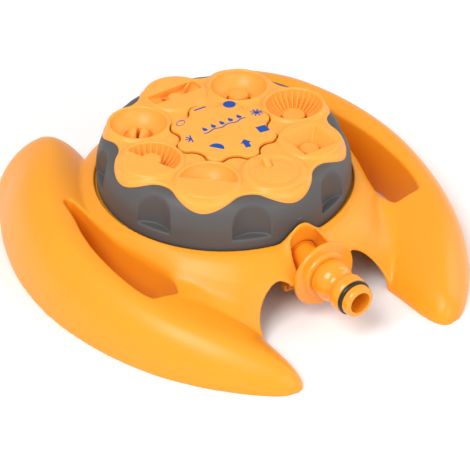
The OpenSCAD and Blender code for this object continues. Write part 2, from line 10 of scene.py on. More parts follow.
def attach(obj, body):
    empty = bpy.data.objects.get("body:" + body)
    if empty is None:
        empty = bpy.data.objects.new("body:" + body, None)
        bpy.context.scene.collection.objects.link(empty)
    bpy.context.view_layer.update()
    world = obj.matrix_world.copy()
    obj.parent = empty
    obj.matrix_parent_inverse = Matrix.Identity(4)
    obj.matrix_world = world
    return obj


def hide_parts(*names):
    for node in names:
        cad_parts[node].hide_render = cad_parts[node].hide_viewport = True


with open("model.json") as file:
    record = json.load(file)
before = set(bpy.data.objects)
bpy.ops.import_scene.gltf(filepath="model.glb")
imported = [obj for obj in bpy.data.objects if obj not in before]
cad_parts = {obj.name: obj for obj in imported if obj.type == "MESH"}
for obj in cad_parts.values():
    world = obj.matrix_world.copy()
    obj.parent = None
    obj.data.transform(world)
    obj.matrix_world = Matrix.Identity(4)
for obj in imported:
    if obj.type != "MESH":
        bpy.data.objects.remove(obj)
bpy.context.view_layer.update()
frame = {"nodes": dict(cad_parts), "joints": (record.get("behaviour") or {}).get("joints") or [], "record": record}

# Lengths below are in millimetres from the dial's axis, as on a drawing; MM turns them into metres.
MM = 0.001
FIELD_BAND = 4
joints = {joint["name"]: joint for joint in frame["joints"]}
DIAL_AXIS = Vector(joints["dial_spin"]["pos_m"])
AXIS_Y = DIAL_AXIS.y / MM


# ---------------------------------------------------------------- fields

def smooth_min(a, b, k):
    h = np.clip(0.5 + 0.5 * (b - a) / k, 0, 1)
    return b + (a - b) * h - k * h * (1 - h)


def smooth_max(a, b, k):
    return -smooth_min(-a, -b, k)


def superellipse(a, b, n, width, height):
    """Distance, nearly, from a quarter superellipse; a and b are offsets from its centre."""
    a = np.maximum(a, 0) / width
    b = np.maximum(b, 0) / height
    q = np.maximum(a ** n + b ** n, 1e-9) ** (1 / n)
    slope = np.hypot(a ** (n - 1) / width, b ** (n - 1) / height) * q ** (1 - n)
    return (q - 1) / np.maximum(slope, 1 / (3 * max(width, height)))


def catmull(points, steps):
    """A smooth curve through the rows of a list."""
    p = np.array(points, float)
    p = np.vstack([p[:1], p, p[-1:]])
    rows = []
    for a, b, c, d in zip(p[:-3], p[1:-2], p[2:-1], p[3:]):
        for t in np.arange(steps) / steps:
            rows.append(0.5 * (2 * b + (c - a) * t + (2 * a - 5 * b + 4 * c - d) * t ** 2
                               + (3 * b - a - 3 * c + d) * t ** 3))
    rows.append(p[-1])
    return np.array(rows)


def polygon_distance(x, y, points):
    """Signed distance from a closed outline, negative inside."""
    p = np.array(points, float)
    best = np.full(x.shape, 1e9)
    inside = np.zeros(x.shape, bool)
    for (ax, ay), (bx, by) in zip(p, np.roll(p, -1, 0)):
        ex, ey = bx - ax, by - ay
        t = np.clip(((x - ax) * ex + (y - ay) * ey) / (ex * ex + ey * ey + 1e-12), 0, 1)
        best = np.minimum(best, np.hypot(x - ax - t * ex, y - ay - t * ey))
        crossing = (ay > y) != (by > y)
        if by != ay:
            inside ^= crossing & (x < ex * (y - ay) / (by - ay) + ax)
    return np.where(inside, -best, best)


def sample(f, p):
    """Values of a grid at places given in its own index units, straight between its points."""
    i = np.clip(np.floor(p).astype(int), 0, np.array(f.shape) - 2)
    t = p - i
    total = 0
    for dx in (0, 1):
        for dy in (0, 1):
            for dz in (0, 1):
                w = (np.where(dx, t[:, 0], 1 - t[:, 0]) * np.where(dy, t[:, 1], 1 - t[:, 1])
                     * np.where(dz, t[:, 2], 1 - t[:, 2]))
                total = total + w * f[i[:, 0] + dx, i[:, 1] + dy, i[:, 2] + dz]
    return total


def link(obj):
    bpy.context.scene.collection.objects.link(obj)
    return obj


def finish_piece(obj, body, material, nodes=()):
    obj.data.materials.clear()
    obj.data.materials.append(material)
    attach(obj, body)
    if nodes:
        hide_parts(*nodes)
    return obj


def mesh_from_points(name, points, faces):
    """A smooth mesh from points in millimetres round the dial's axis."""
    mesh = bpy.data.meshes.new(name)
    shifted = (np.asarray(points) + [0, AXIS_Y, 0]) * MM
    mesh.from_pydata(shifted.tolist(), [], [list(map(int, f)) for f in faces])
    mesh.validate()
    mesh.polygons.foreach_set("use_smooth", [True] * len(mesh.polygons))
    return link(bpy.data.objects.new(name, mesh))


def mesh_from_field(name, field, low, high, step, mirror=False):
    """Meshes the zero level of field(x, y, z); mirror repeats the half with x above 0 on the other side."""
    axes = [np.arange(a, b + step, step) for a, b in zip(low, high)]
    x, y, z = (g.astype(np.float32) for g in np.meshgrid(*axes, indexing="ij"))
    f = np.asarray(field(x, y, z), np.float32)
    start = np.array([a[0] for a in axes])
    if mirror:
        f = np.concatenate([f[:0:-1], f])
        start[0] = -axes[0][-1]
    f = np.clip(f, -FIELD_BAND * step, FIELD_BAND * step)
    f[0], f[-1], f[:, 0], f[:, -1], f[:, :, 0], f[:, :, -1] = (step,) * 6
    grid = vdb.FloatGrid(background=FIELD_BAND * step)
    grid.copyFromArray(f)
    points, quads = grid.convertToQuads(isovalue=0.0)
    gradient = np.gradient(f)
    # Two Newton steps draw the points onto the surface, each at most a third of a cell long.
    for _ in range(2):
        n = np.stack([sample(g, points) for g in gradient], 1)
        n2 = np.maximum((n * n).sum(1), 0.04 * step * step)
        move = -(sample(f, points) / n2)[:, None] * n
        length = np.linalg.norm(move, axis=1, keepdims=True)
        points = points + move * np.minimum(1, 0.35 / np.maximum(length, 1e-9))
    return mesh_from_points(name, points * step + start, quads[:, ::-1])


# ---------------------------------------------------------------- base shell

WALL = 2.5
RIM_R = 65.65
RIM_Z = 35.6
TRAY_TOP = 33.2
TRAY_BOTTOM = 30.7
PIVOT_HOLE_R = 10
PORT_HOLE_R = 9.9
PORT_CIRCLE = 43.5
BOSS_CIRCLE = 42
BOSS_R = 4
BOSS_BOTTOM = 20
INLET_Z = 24.7
SOCKET_R = 8.8
SOCKET_BACK = -52

# Each row is a section across the wing: place along Y, inner edge, outer edge, crest, height.
WING_STATIONS = [
    [103, 56.5, 57.5, 57, 0.4], [99.6, 44, 71.5, 56.5, 14], [91, 35.5, 81.6, 56, 28.8],
    [76, 32, 88.8, 57.5, 37.6], [52, 32.5, 100, 73, 40], [22, 36, 108.8, 87, 37],
    [-12, 38, 111.5, 92.5, 33.2], [-46, 38, 106.4, 88, 29.4], [-75, 37.5, 96, 79, 25.4],
    [-96, 37.8, 83.4, 66, 20.8], [-111, 38.4, 71, 55, 15.8], [-121.5, 40, 60, 49, 10.8],
    [-126.2, 42.6, 53.2, 47, 5.4], [-128, 45.6, 46.4, 46, 0.4]]
WING_CURVE_OUTSIDE = 1.85
WING_CURVE_INSIDE = 1.6
WING_BLEND = 2.2
TOE_BLEND = 5
TOE_BLEND_Y = -56
TOE_BLEND_SPREAD = 9

# The dome's outline changes with the angle from the hose's side: (degrees, radius) or (degrees, height).
RIDGE_R = [[0, 86], [21, 85.8], [29, 85.4], [36, 82.6], [44, 80.2], [52, 78.6], [58, 75.6],
           [64, 73.8], [100, 73.8], [120, 75.5], [180, 76]]
RIDGE_Z = [[0, 21], [14, 20.5], [21, 18.6], [29, 19.5], [44, 23.5], [52, 25.5], [64, 26.6],
           [76, 27.6], [86, 30], [110, 30], [180, 29]]
VALLEY_R = [[0, 95], [22, 96.5], [33, 92.9], [49, 86], [57, 79], [64, 75], [100, 75], [125, 78],
            [180, 79]]
VALLEY_Z = [[0, 6], [22, 4], [33, 14.5], [49, 22], [57, 21], [64, 16], [180, 15]]
FOOT_R = [[0, 98], [22, 98.6], [33, 95], [49, 88], [57, 80.5], [64, 76.4], [100, 76.4], [125, 80],
          [180, 81.5]]
BEAK_H = 8.4
BEAK_HALF = 14
BEAK_SECTOR = 60

# Pairs of points on the slot's inner and outer edge, from its tail to its front.
SLOT_STATIONS = [
    [[77, 24.5], [77.4, 24]], [[75.6, 15], [79.2, 12]], [[75.4, 3], [82, 1]], [[74.8, -9], [83.8, -11]],
    [[72.4, -20], [84.2, -22]], [[69.4, -30], [84, -32]], [[66.6, -39], [83, -42]],
    [[65.4, -47.5], [81.4, -50]], [[67.6, -54], [79.6, -54.6]]]
SLOT_CORNER = 2.2

# Half outlines, as (X, Z) from the hose's side, of the front arch and of the niche above it.
ARCH_EDGE = [[38, -1], [37.6, 8], [34.4, 14.9], [29, 21], [22.6, 24.6], [18, 23.2], [15.8, 19], [15, 13]]
ARCH_BACK = -70
COWL_HALF = 20
COWL_STEPS = [(-82.5, 23, 0.8), (-75, 21.5, 0.6)]
NICHE_EDGE = [[0, 47.5], [3.6, 45], [6.4, 42.5], [9.3, 39.5], [11, 36.5], [12.3, 32.5], [12.7, 28.5],
              [12.9, 8]]
NICHE_FRONT = -90
NICHE_BACK = -68.25
NICHE_TAPER_X = 0.18
NICHE_TAPER_Z = 0.14


def table(rows, p, spread=2.5):
    """Looks a table up by angle, with its corners rounded over a few degrees."""
    degrees = np.arange(-20, 201.0)
    rows = np.array(rows, float)
    values = np.interp(np.abs(degrees), rows[:, 0], rows[:, 1])
    kernel = np.exp(-0.5 * (np.arange(-8, 9) / spread) ** 2)
    smoothed = np.convolve(np.pad(values, 8, "edge"), kernel / kernel.sum(), "valid")
    return np.interp(p, degrees, smoothed)


def wing_field(x, y, z):
    rows = catmull(WING_STATIONS, 24)[::-1]
    line = y[0, :, 0]
    inner, outer, crest, height = (
        np.interp(line, rows[:, 0], rows[:, k])[None, :, None] for k in (1, 2, 3, 4))
    outside = x > crest
    u = np.where(outside, (x - crest) / (outer - crest), (crest - x) / (crest - inner))
    n = np.where(outside, WING_CURVE_OUTSIDE, WING_CURVE_INSIDE)
    v = np.maximum(z, 0) / height
    q = (u ** n + v ** n) ** (1 / n)
    step = float(line[1] - line[0])
    slope = np.sqrt(sum(g * g for g in np.gradient(q, step)))
    ends = np.maximum(y - WING_STATIONS[0][0], WING_STATIONS[-1][0] - y)
    return np.maximum((q - 1) / np.maximum(slope, 0.004), ends)


def dome_field(x, y, z):
    r = np.hypot(x, y)
    p = np.degrees(np.arccos(np.clip(-y / np.maximum(r, 1e-6), -1, 1)))
    side = RIM_R * np.sin(np.radians(p))
    beak = BEAK_H * (1 + np.cos(np.pi * side / BEAK_HALF)) / 2
    beak = np.where((p < BEAK_SECTOR) & (side < BEAK_HALF), beak, 0)
    ridge = np.stack([table(RIDGE_R, p), table(RIDGE_Z, p)])
    valley = np.stack([table(VALLEY_R, p), table(VALLEY_Z, p)])
    foot_r = table(FOOT_R, p)
    top = RIM_Z + beak
    rim = np.stack([np.full_like(r, RIM_R + 0.8), top])
    shoulder = np.stack([RIM_R + 0.45 * (ridge[0] - RIM_R), RIM_Z + 0.6 * beak - 1.6])
    flank = ridge * 0.85 + shoulder * 0.15
    under = ridge * 0.75 + valley * 0.25
    zero = np.zeros_like(r)

    def bend(a, b, c, t):
        return (1 - t) ** 2 * a + 2 * t * (1 - t) * b + t ** 2 * c

    outline = [np.stack([zero - 1, top]), rim]
    outline += [bend(rim, shoulder, flank, k / 5) for k in range(1, 6)]
    outline += [bend(flank, ridge, under, k / 4) for k in range(1, 5)]
    outline += [valley, np.stack([foot_r, zero]), np.stack([foot_r, zero - 9])]
    best = np.full(r.shape, 1e9)
    inside = np.zeros(r.shape, bool)
    for a, b in zip(outline[:-1], outline[1:]):
        e = b - a
        t = np.clip(((r - a[0]) * e[0] + (z - a[1]) * e[1]) / (e[0] ** 2 + e[1] ** 2 + 1e-9), 0, 1)
        best = np.minimum(best, np.hypot(r - a[0] - t * e[0], z - a[1] - t * e[1]))
        crossing = (a[1] > z) != (b[1] > z)
        inside ^= crossing & (r < e[0] * (z - a[1]) / np.where(e[1] == 0, 1, e[1]) + a[0])
    return np.where(inside, -best, best)


def slot_field(x, y):
    left = [row[0] for row in SLOT_STATIONS]
    right = [row[1] for row in SLOT_STATIONS]
    outline = np.vstack([catmull(left, 3), catmull(right, 3)[::-1]])
    return polygon_distance(x[:, :, 0], y[:, :, 0], outline)[:, :, None] - SLOT_CORNER


def niche_field(x, y, z):
    """The niche shrinks towards its back wall, like a funnel cut square."""
    field = np.full(x.shape, 50.0, np.float32)
    near = (x < 24) & (y < -60) & (y > -98)
    depth = np.clip((y[near] - NICHE_FRONT) / (NICHE_BACK - NICHE_FRONT), 0, 1)
    px = x[near] / (1 - NICHE_TAPER_X * depth)
    pz = (z[near] - INLET_Z) / (1 - NICHE_TAPER_Z * depth) + INLET_Z
    right = catmull(NICHE_EDGE, 3)
    outline = np.vstack([right, right[::-1] * [-1, 1]])
    field[near] = np.maximum(polygon_distance(px, pz, outline), y[near] - NICHE_BACK - 1)
    return field


def shell_field(x, y, z):
    """The hollow base: dome and wings, less the dial's tray, the slots, the arch, niche and socket."""
    r = np.hypot(x, y)
    blend = WING_BLEND + TOE_BLEND * np.exp(-((y - TOE_BLEND_Y) / TOE_BLEND_SPREAD) ** 2) * (x > 50)
    skin = smooth_min(dome_field(x, y, z), wing_field(x, y, z), blend)
    slot = slot_field(x, y)
    niche = niche_field(x, y, z)
    arch_outline = np.vstack([catmull(ARCH_EDGE, 4), [[-5, 13], [-5, -1]]])
    arch = polygon_distance(x[:, 0, :], z[:, 0, :], arch_outline)[:, None, :]
    tray = np.maximum(r - RIM_R - WALL, TRAY_BOTTOM - z)
    hollow = np.maximum(skin + WALL, -tray)
    hollow = np.maximum(hollow, WALL - slot)
    hollow = np.maximum(hollow, 1.8 - niche)
    body = smooth_max(skin, -hollow, 0.6)
    for turn in (-60, 0, 60):
        bx = abs(BOSS_CIRCLE * math.cos(math.radians(turn)))
        by = BOSS_CIRCLE * math.sin(math.radians(turn))
        height = np.maximum(BOSS_BOTTOM - z, z - TRAY_BOTTOM - 1)
        body = np.minimum(body, np.maximum(np.hypot(x - bx, y - by) - BOSS_R, height))
    body = smooth_max(body, -np.maximum(arch, y - ARCH_BACK), 1.3)
    for back, top, edge in COWL_STEPS:
        body = smooth_max(body, -np.maximum(np.maximum(x - COWL_HALF, y - back), z - top), edge)
    body = smooth_max(body, -slot, 1.6)
    body = smooth_max(body, -niche, 1.5)
    body = smooth_max(body, -np.maximum(r - RIM_R, TRAY_TOP - z), 0.9)
    body = np.maximum(body, -np.maximum(r - PIVOT_HOLE_R, TRAY_BOTTOM - 2 - z))
    body = np.maximum(body, PORT_HOLE_R - np.hypot(x, y + PORT_CIRCLE))
    socket = np.maximum(np.hypot(x, z - INLET_Z) - SOCKET_R, np.maximum(y - SOCKET_BACK, NICHE_FRONT - y))
    body = np.maximum(body, -socket)
    return np.maximum(body, -z)


def build_shell(material):
    step = 0.78
    obj = mesh_from_field("sled_shell", shell_field, (0, -131, -2), (114, 106, 47), step, mirror=True)
    return finish_piece(obj, "base", material, ["base_shell"])


# ---------------------------------------------------------------- dial

CUP_CIRCLE = 43.5
CUP_R = 16.2
CUP_Z = 62.5
BOWL_R = 14.3
BOWL_FLOOR_R = 6.6
BOWL_DEPTH = 8.5
FLOOR_Z = CUP_Z - BOWL_DEPTH
SHOULDER_R = 53.5
SHOULDER_Z = 42
GRIP_R = 64.5
RING_TOP = 59.4
SHOULDER_CURVE = 2.2
GRIP_BOTTOM = 33.8
GRIP_INNER_R = 57.6
GRIP_INNER_TOP = 55.8
DECK_R = 52.5
DECK_TOP = 60.8
DECK_BOTTOM = 57.8
CUP_BOTTOM = 50.5
SKIRT_THICK = 1.4
SKIRT_R = 18.4
SKIRT_VALLEY = 53.8
SCOOP_AT = 74
SCOOP_R = 14.6
ARCH_Z = 47.8
ARCH_HALF = 9.2
LEDGE_Z = 40.5


def folded(x, y, first):
    """Turns every place to the sector of its nearest eighth; gives the number of the eighth too."""
    angle = np.degrees(np.arctan2(y, x)) - first
    sector = np.round(angle / 45)
    turn = np.radians(first + 45 * sector)
    return x * np.cos(turn) + y * np.sin(turn), y * np.cos(turn) - x * np.sin(turn), sector.astype(int) % 8


def shoulder_field(r, z, grow):
    return superellipse(r - SHOULDER_R, z - SHOULDER_Z, SHOULDER_CURVE,
                        GRIP_R - SHOULDER_R + grow, RING_TOP - SHOULDER_Z + grow)


def rosette_radii(c, r, v):
    """The radius of the valleys between lobes of radius r round c, when the valleys reach in to v."""
    half = math.cos(math.radians(22.5))
    return (v * v - 2 * c * half * v + c * c - r * r) / (2 * (r - v + c * half))


def rosette_field(u, w, c, r, v):
    """Eight round lobes with round valleys; u and w are folded to one lobe."""
    valley_r = rosette_radii(c, r, v)
    vx = (v + valley_r) * math.cos(math.radians(22.5))
    vy = (v + valley_r) * math.sin(math.radians(22.5))
    w = np.abs(w)
    far = (vx - c) * w - vy * (u - c) < 0
    return np.where(far, np.hypot(u - c, w) - r, valley_r - np.hypot(u - vx, w - vy))


def grip_field(x, y, z):
    """The grey band, with a scooped recess under each valley of the dial's top."""
    r = np.hypot(x, y)
    outer = shoulder_field(r, z, 0)
    body = smooth_max(outer, GRIP_BOTTOM - z, 0.9)
    body = np.maximum(body, DECK_R - 2.5 - r)
    body = np.maximum(body, -np.maximum(r - GRIP_INNER_R, z - GRIP_INNER_TOP))
    u, w, _ = folded(x, y, 22.5)
    arch = np.where(z > ARCH_Z, np.hypot(w, z - ARCH_Z), np.abs(w)) - ARCH_HALF
    scoop = np.maximum(np.hypot(u - SCOOP_AT, w) - SCOOP_R, LEDGE_Z - z)
    body = smooth_max(body, -np.maximum(scoop, arch), 1.1)
    u, w, _ = folded(x, y, 0)
    return np.maximum(body, CUP_R + 0.3 - np.hypot(u - CUP_CIRCLE, w))


def bowl_field(rr, z):
    """A round bowl; rr is the distance from the cup's own axis."""
    wall = superellipse(rr - BOWL_FLOOR_R, CUP_Z - z, 1.5, BOWL_R - BOWL_FLOOR_R, BOWL_DEPTH)
    return np.where(z > CUP_Z, rr - BOWL_R, wall)


FLUTES = 28
FLUTE_DEPTH = 2.1
FLUTE_END = 14.1
HALF_TURN = math.radians(20)


def flute_depth(a, b, rr):
    """Narrow grooves down the wall of a bowl, which fade out at its lip and at its button."""
    wave = 0.5 + 0.5 * np.cos(FLUTES * np.arctan2(b, a))
    fade = np.clip((rr - 5) / 2, 0, 1) * np.clip(FLUTE_END - rr, 0, 1)
    return FLUTE_DEPTH * wave ** 1.6 * fade


def button_field(rr, z, radius, top):
    """A round button in the middle of a bowl."""
    return smooth_max(rr - radius, z - top, 0.9)


def ring_slit(a, b, z, radius, places, half):
    """A narrow dark gap beside a button, over short arcs: half is half of an arc, in degrees."""
    rr = np.hypot(a, b)
    angle = np.degrees(np.arctan2(b, a))
    arcs = np.full(angle.shape, 1e3)
    for place in places:
        off = np.abs((angle - place + 180) % 360 - 180)
        arcs = np.minimum(arcs, (off - half) * radius * math.pi / 180)
    gap = np.maximum(np.abs(rr - radius - 0.45) - 0.5, FLOOR_Z - 3 - z)
    return np.maximum(gap, np.maximum(arcs, z - FLOOR_Z - 2.4))


# Each cup's function takes places from the cup's own axis, with a outwards, b anticlockwise and z up. It
# gives what is sunk into the cup and what stands up in it, both negative inside.

def fluted_bowl(a, b, z):
    rr = np.hypot(a, b)
    depth = flute_depth(a, b, rr)
    return bowl_field(rr - depth, z + 0.5 * depth)


def fluted_cup(a, b, z):
    button_r = 5.9
    slit = ring_slit(a, b, z, button_r, (-35, 145), 26)
    button = button_field(np.hypot(a, b), z, button_r, FLOOR_Z + 2.2)
    return np.minimum(fluted_bowl(a, b, z), slit), button


def full_cup(a, b, z):
    button_r = 5.2
    rr = np.hypot(a, b)
    slit = ring_slit(a, b, z, button_r, (-100, 95), 34)
    return np.minimum(bowl_field(rr, z), slit), button_field(rr, z, button_r, FLOOR_Z + 3.2)


def strip_cup(a, b, z):
    """A trough right across the cup, shallower towards its ends, with its nozzle at one side and a fin."""
    trough = np.maximum(np.abs(a - 0.6) - 4.2, np.hypot(a, b) - BOWL_R)
    trough = smooth_max(trough, CUP_Z - 5.6 + 0.2 * np.abs(b) - z, 0.8)
    slit = np.maximum(np.maximum(np.abs(a - 3.2) - 1.1, np.abs(b - 4.4) - 1.6), CUP_Z - 9 - z)
    hub = np.maximum(np.hypot(a + 3.4, b - 2) - 3.8, z - CUP_Z + 0.1)
    fin = np.maximum(np.abs(0.82 * a + 0.57 * b + 3) - 0.5, np.abs(0.82 * b - 0.57 * a + 9) - 3.6)
    stand = np.minimum(hub, np.maximum(fin, z - CUP_Z + 0.3))
    return np.minimum(trough, slit), stand


def slit_cup(a, b, z):
    """Two soft halves on each side of a lens-shaped slit, in a round moat."""
    rr = np.hypot(a, b)
    halves = ((np.abs(a) - 2.3) / 3.6) ** 2 + (b / 5) ** 2 + ((z - FLOOR_Z) / 4.6) ** 2
    boss = 3 * (np.sqrt(halves) - 1)
    slit = np.maximum(0.8 * (np.hypot(a, b / 3.9) - 1), FLOOR_Z - 3 - z)
    moat = np.maximum(np.abs(rr - 6.6) - 0.9, np.abs(z - FLOOR_Z - 0.3) - 1.1)
    sunk = np.minimum(bowl_field(rr, z), moat)
    return np.minimum(sunk, slit), smooth_max(boss, -slit, 0.7)


def half_fluted_cup(a, b, z):
    """Half of a fluted bowl behind a turned chord, with a flat hub that has a dark pit at each end."""
    side = a * math.cos(HALF_TURN) + b * math.sin(HALF_TURN) - 0.8
    along = np.abs(b * math.cos(HALF_TURN) - a * math.sin(HALF_TURN))
    hub = np.maximum(button_field(np.hypot(a, b), z, 5.0, CUP_Z - 0.05), side)
    pit = np.hypot(np.hypot(side + 1.1, along - 5.7), (z - CUP_Z + 3) / 2.4) - 1.4
    return np.minimum(np.maximum(fluted_bowl(a, b, z), side), pit), hub


def half_cup(a, b, z):
    bowl = smooth_max(bowl_field(np.hypot(a, b), z), a - 0.4, 0.5)
    bump = np.hypot(a - 0.6, b) - 1.9
    return bowl, np.maximum(bump, z - CUP_Z - 0.15)


def jet_cup(a, b, z):
    """A shallow dish with a low pad in it, and a seat for the stub."""
    rr = np.hypot(a, b)
    dish = smooth_max(rr - 12.4, CUP_Z - 0.75 - z, 0.8)
    pad = smooth_max(rr - 9.4, z - CUP_Z + 0.15, 0.5)
    seat = np.hypot(np.hypot(a + 6.2, b - 1.2) / 1.5, z - CUP_Z) - 1.5
    nothing = np.full(a.shape, 9.0)
    return np.minimum(smooth_max(dish, -pad, 0.5), seat), nothing


def square_cup(a, b, z):
    """A four-sided bowl with its corners on the cup's own axes."""
    button_r = 4.9
    rr = np.hypot(a, b)
    rise = np.clip((z - FLOOR_Z) / BOWL_DEPTH, 0, 1.2)
    square = (np.abs(a) + np.abs(b)) - (6.8 + 7.4 * rise)
    square = smooth_max(square * 0.62, FLOOR_Z - z, 1.2)
    slit = ring_slit(a, b, z, button_r, (-100, 5), 24)
    return np.minimum(np.maximum(square, rr - BOWL_R), slit), button_field(rr, z, button_r, FLOOR_Z + 3.4)


CUPS = [fluted_cup, full_cup, strip_cup, slit_cup, half_fluted_cup, half_cup, jet_cup, square_cup]

# The badge's lobes: their circle, their radius, and how far out the valleys between them lie.
BADGE_LOBE = (21.8, 5, 22)
BADGE_TOP = 62.5
BADGE_GAP = 0.75
BADGE_WELL = 58.8
BADGE_CROWN = 0.25
BADGE_REACH = 26
BADGE_EDGE = [(0.25, 2.2), (0, 1.9), (0, 0.7), (0.08, 0.4), (0.25, 0.15), (0.5, 0.03), (0.9, 0)]


def plate_field(x, y, z):
    """The yellow top: a deck, a skirt that hangs over the grey band, eight cups and the badge's well."""
    r = np.hypot(x, y)
    u, w, sector = folded(x, y, 0)
    a, b = u - CUP_CIRCLE, w
    rr = np.hypot(a, b)
    skirt = rosette_field(u, w, CUP_CIRCLE, SKIRT_R, SKIRT_VALLEY)
    skirt = smooth_max(skirt, shoulder_field(r, z, SKIRT_THICK), 1.5)
    skirt = np.maximum(skirt, -shoulder_field(r, z, -1.0))
    deck = np.maximum(np.maximum(r - DECK_R, z - DECK_TOP), DECK_BOTTOM - z)
    cup = smooth_max(rr - CUP_R, z - CUP_Z, 1.5)
    body = smooth_min(np.minimum(skirt, deck), cup, 2.0)
    body = np.maximum(body, CUP_BOTTOM - z)
    gap = rosette_field(u, w, BADGE_LOBE[0], BADGE_LOBE[1] + BADGE_GAP, BADGE_LOBE[2] + BADGE_GAP)
    body = smooth_max(body, -np.maximum(gap, BADGE_WELL - z), 0.5)
    for number, cup_function in enumerate(CUPS):
        here = (sector == number) & (rr < CUP_R - 0.4)
        recess, stand = cup_function(a[here], b[here], z[here])
        inside = smooth_max(body[here], -recess, 1.0)
        stand = np.maximum(stand, CUP_BOTTOM - z[here])
        stand = np.maximum(stand, FLOOR_Z - 2.5 - z[here])
        body[here] = smooth_min(inside, stand, 0.35)
    return body


def build_dial(material, grey):
    step = 0.42
    plate = mesh_from_field("spray_plate", plate_field, (-67, -67, 49), (67, 67, 64.5), step)
    nodes = ["nozzle_plate", "strip_nozzle", "full_deflector", "fluted_deflector", "square_deflector",
             "half_deflector", "half_fluted_deflector", "slit_nozzle"]
    finish_piece(plate, "dial", material, nodes)
    ring = mesh_from_field("grip_band", grip_field, (-67, -67, 32.5), (67, 67, 61), step * 1.35)
    finish_piece(ring, "dial", grey, ["grip_ring"])


def lathe(name, outline, centre, axis, turns=96):
    """A solid turned from an outline of (distance along the axis, radius) points.

    axis is "Y", or a tilt from +Z towards +X in radians.
    """
    points = []
    for d, radius in outline:
        for k in range(turns):
            q = 2 * math.pi * k / turns
            if axis == "Y":
                points.append((centre[0] + radius * math.cos(q), centre[1] + d,
                               centre[2] + radius * math.sin(q)))
            else:
                px, py, pz = radius * math.cos(q), radius * math.sin(q), d
                points.append((centre[0] + px * math.cos(axis) + pz * math.sin(axis), centre[1] + py,
                               centre[2] + pz * math.cos(axis) - px * math.sin(axis)))
    n = len(outline)
    sign = 1 if axis == "Y" else -1
    faces = []
    for i in range(n):
        for k in range(turns):
            m = (k + 1) % turns
            quad = [i * turns + k, i * turns + m, (i + 1) % n * turns + m, (i + 1) % n * turns + k]
            faces.append(quad[::sign])
    return mesh_from_points(name, points, faces)


def rounded(corners, radius, steps=4):
    """Rounds every corner of an outline by at most radius."""
    p = np.array(corners, float)
    rows = []
    for a, b, c in zip(np.roll(p, 1, 0), p, np.roll(p, -1, 0)):
        e, f = a - b, c - b
        reach = min(radius, 0.45 * np.linalg.norm(e), 0.45 * np.linalg.norm(f))
        start = b + e / max(np.linalg.norm(e), 1e-9) * reach
        end = b + f / max(np.linalg.norm(f), 1e-9) * reach
        for t in np.linspace(0, 1, steps + 1):
            rows.append((1 - t) ** 2 * start + 2 * t * (1 - t) * b + t ** 2 * end)
    return rows


SPOUT_INWARDS = 5.6
SPOUT_SUNK = 0.6


def build_spout(material):
    """The jet's stub, which leans in from its seat on the flat cup."""
    outline = rounded([[-1.2, 1.0], [-1.2, 1.9], [4, 1.75], [4, 1.0]], 0.4)
    obj = lathe("jet_spout", outline, (0, 0, 0), math.radians(-45), 40)
    place = Matrix.Translation((0, DIAL_AXIS.y, 0)) @ Matrix.Rotation(math.radians(-90), 4, "Z")
    place = place @ Matrix.Translation(((CUP_CIRCLE - SPOUT_INWARDS) * MM, 0, (CUP_Z - SPOUT_SUNK) * MM))
    obj.data.transform(place @ Matrix.Translation((0, -DIAL_AXIS.y, 0)))
    return finish_piece(obj, "dial", material, ["jet_nozzle"])


def rosette_points(c, r, v, shrink, steps=10):
    """The rosette's outline as points, drawn in by shrink."""
    valley_r = rosette_radii(c, r, v) + shrink
    centre = np.array([c, 0.0])
    eighth = math.radians(22.5)
    far = (v + rosette_radii(c, r, v)) * np.array([math.cos(eighth), math.sin(eighth)])
    lobe_r = r - shrink
    towards = far - centre
    end = math.atan2(towards[1], towards[0])
    half = [centre + lobe_r * np.array([math.cos(t), math.sin(t)]) for t in np.linspace(0, end, steps)]
    back = math.atan2(-towards[1], -towards[0]) % (2 * math.pi)
    for t in np.linspace(back, eighth + math.pi, steps)[1:]:
        half.append(far + valley_r * np.array([math.cos(t), math.sin(t)]))
    half = np.array(half)
    sector = np.vstack([(half * [1, -1])[:0:-1], half])[:-1]
    rows = []
    for k in range(8):
        turn = math.radians(45 * k)
        spin = np.array([[math.cos(turn), -math.sin(turn)], [math.sin(turn), math.cos(turn)]])
        rows.append(sector @ spin.T)
    return np.vstack(rows)


def badge_crown(x, y):
    """The badge is a little higher in the middle."""
    return BADGE_TOP - BADGE_CROWN * (np.hypot(x, y) / BADGE_REACH) ** 2


def build_badge(material):
    rings = []
    for shrink, below in BADGE_EDGE:
        p = rosette_points(*BADGE_LOBE, shrink)
        rings.append(np.c_[p, badge_crown(p[:, 0], p[:, 1]) - below])
    last = rings[-1][:, :2]
    for scale in (0.8, 0.55, 0.3, 0.1):
        p = last * scale
        rings.append(np.c_[p, badge_crown(p[:, 0], p[:, 1])])
    n = len(rings[0])
    points = np.vstack(rings + [np.array([[0, 0, BADGE_TOP]])])
    faces = [[i * n + k, i * n + (k + 1) % n, (i + 1) * n + (k + 1) % n, (i + 1) * n + k]
             for i in range(len(rings) - 1) for k in range(n)]
    top = len(points) - 1
    inner_ring = (len(rings) - 1) * n
    faces += [[inner_ring + k, inner_ring + (k + 1) % n, top] for k in range(n)]
    faces.append(list(range(n))[::-1])
    obj = mesh_from_points("badge_cover", points, faces)
    return finish_piece(obj, "dial", material, ["badge_plate"])


# ---------------------------------------------------------------- printed marks

PRINT_LIFT = 0.03
PRINT_ROOT = -0.2


def turned(points, angle, at):
    """Points turned anticlockwise by an angle in degrees, then moved."""
    c, s = math.cos(math.radians(angle)), math.sin(math.radians(angle))
    return [(at[0] + x * c - y * s, at[1] + x * s + y * c) for x, y in points]


def disc(radius, n=36, first=0, last=360):
    """A disc, or the part of its edge between two angles in degrees."""
    count = n + (last - first < 360)
    angles = [math.radians(first + (last - first) * k / n) for k in range(count)]
    return [(radius * math.cos(q), radius * math.sin(q)) for q in angles]


